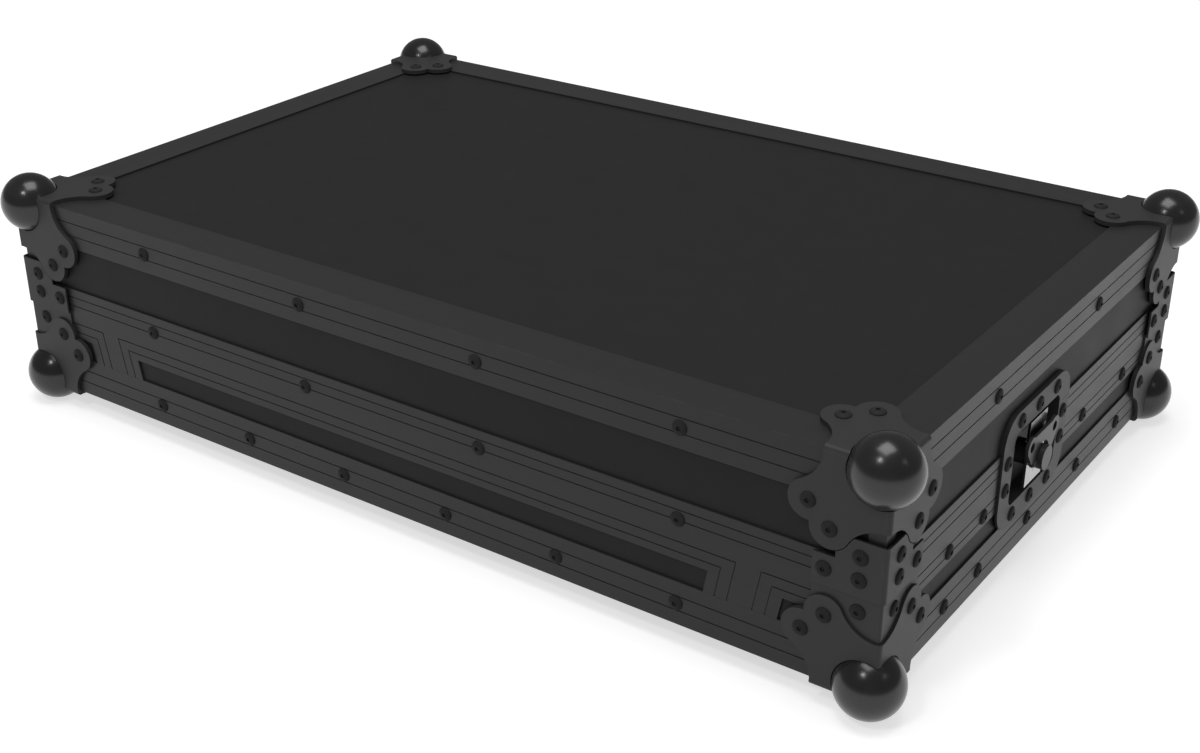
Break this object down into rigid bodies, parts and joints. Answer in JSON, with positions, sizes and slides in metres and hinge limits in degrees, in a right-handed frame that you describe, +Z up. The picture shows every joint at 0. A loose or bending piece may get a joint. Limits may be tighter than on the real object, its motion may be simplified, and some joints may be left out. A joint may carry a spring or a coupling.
{
  "type": "dj controller flight case",
  "caption": "Low black flight case with a lift-off lid, aluminium edge profiles, ball corners, foam lining and turn latches on the short sides.",
  "frame": {"origin": "middle of the case on the plane that it stands on, under its four lower balls", "axes": "+X along the length towards the right latch, +Z up, so the front with the window frame faces -Y"},
  "size_m": [0.741, 0.487, 0.181],
  "materials": {
    "laminated_board": "black matte laminate on plywood",
    "black_aluminium": "black anodised, satin",
    "bracket_steel": "black powder coat, satin",
    "ball_plating": "black, glossy",
    "rivet_steel": "black, semi-gloss",
    "latch_steel": "black powder coat, satin",
    "barrel_steel": "black, semi-gloss",
    "wing_steel": "black plated, satin",
    "hook_steel": "black plated, satin",
    "foam": "charcoal open-cell foam"
  },
  "bodies": {
    "base": {"base_bottom_panel": "laminated_board", "base_front_panel": "laminated_board", "base_rear_panel": "laminated_board", "base_left_panel": "laminated_board", "base_right_panel": "laminated_board", "base_front_band": "black_aluminium", "base_rear_band": "black_aluminium", "base_left_band": "black_aluminium", "base_right_band": "black_aluminium", "base_front_edge": "black_aluminium", "base_rear_edge": "black_aluminium", "base_left_edge": "black_aluminium", "base_right_edge": "black_aluminium", "base_corner_profiles": "black_aluminium", "front_window_posts": "black_aluminium", "brace_front_left": "bracket_steel", "brace_front_right": "bracket_steel", "brace_rear_left": "bracket_steel", "brace_rear_right": "bracket_steel", "base_bracket_front_left": "bracket_steel", "base_bracket_front_right": "bracket_steel", "base_bracket_rear_left": "bracket_steel", "base_bracket_rear_right": "bracket_steel", "base_corner_balls": "ball_plating", "base_rivets": "rivet_steel", "floor_foam_pad": "foam", "wall_foam_strips": "foam", "latch_dish_left": "latch_steel", "latch_dish_right": "latch_steel"},
    "lid": {"lid_top_panel": "laminated_board", "lid_front_panel": "laminated_board", "lid_rear_panel": "laminated_board", "lid_left_panel": "laminated_board", "lid_right_panel": "laminated_board", "lid_front_edge": "black_aluminium", "lid_rear_edge": "black_aluminium", "lid_left_edge": "black_aluminium", "lid_right_edge": "black_aluminium", "lid_corner_profiles": "black_aluminium", "lid_locating_strips": "black_aluminium", "lid_foam_pad": "foam", "lid_bracket_front_left": "bracket_steel", "lid_bracket_front_right": "bracket_steel", "lid_bracket_rear_left": "bracket_steel", "lid_bracket_rear_right": "bracket_steel", "lid_corner_balls": "ball_plating", "lid_rivets": "rivet_steel", "latch_keeper_left": "latch_steel", "latch_keeper_right": "latch_steel"},
    "barrel_left": {"latch_barrel_left": "barrel_steel", "wing_pin_left": "barrel_steel"},
    "wing_left": {"latch_wing_left": "wing_steel"},
    "strap_left": {"latch_strap_left": "hook_steel"},
    "hook_left": {"latch_hook_left": "hook_steel"},
    "barrel_right": {"latch_barrel_right": "barrel_steel", "wing_pin_right": "barrel_steel"},
    "wing_right": {"latch_wing_right": "wing_steel"},
    "strap_right": {"latch_strap_right": "hook_steel"},
    "hook_right": {"latch_hook_right": "hook_steel"}
  },
  "joints": [
    {"name": "lid_lift", "type": "slide", "parent": "base", "child": "lid", "axis": [0, 0, 1], "range_m": [0, 0.25]},
    {"name": "left_barrel_turn", "type": "hinge", "parent": "base", "child": "barrel_left", "pos_m": [-0.355, -0.0205, 0.0803], "axis": [1, 0, 0], "range_deg": [0, 180]},
    {"name": "left_wing_fold", "type": "hinge", "parent": "barrel_left", "child": "wing_left", "pos_m": [-0.36085, -0.0205, 0.0803], "axis": [0, -1, 0], "range_deg": [0, 90]},
    {"name": "left_strap_draw", "type": "slide", "parent": "base", "child": "strap_left", "axis": [0, 0, -1], "range_m": [0, 0.003]},
    {"name": "left_hook_tilt", "type": "hinge", "parent": "strap_left", "child": "hook_left", "pos_m": [-0.3566, -0.0205, 0.0947], "axis": [0, 1, 0], "range_deg": [0, 8]},
    {"name": "right_barrel_turn", "type": "hinge", "parent": "base", "child": "barrel_right", "pos_m": [0.355, -0.0205, 0.0803], "axis": [1, 0, 0], "range_deg": [0, 180]},
    {"name": "right_wing_fold", "type": "hinge", "parent": "barrel_right", "child": "wing_right", "pos_m": [0.36085, -0.0205, 0.0803], "axis": [0, 1, 0], "range_deg": [0, 90]},
    {"name": "right_strap_draw", "type": "slide", "parent": "base", "child": "strap_right", "axis": [0, 0, -1], "range_m": [0, 0.003]},
    {"name": "right_hook_tilt", "type": "hinge", "parent": "strap_right", "child": "hook_right", "pos_m": [0.3566, -0.0205, 0.0947], "axis": [0, -1, 0], "range_deg": [0, 8]}
  ],
  "couplings": [
    {"joint": "left_strap_draw", "follows": "left_barrel_turn", "m_per_rad": 0.0009549},
    {"joint": "right_strap_draw", "follows": "right_barrel_turn", "m_per_rad": 0.0009549}
  ]
}
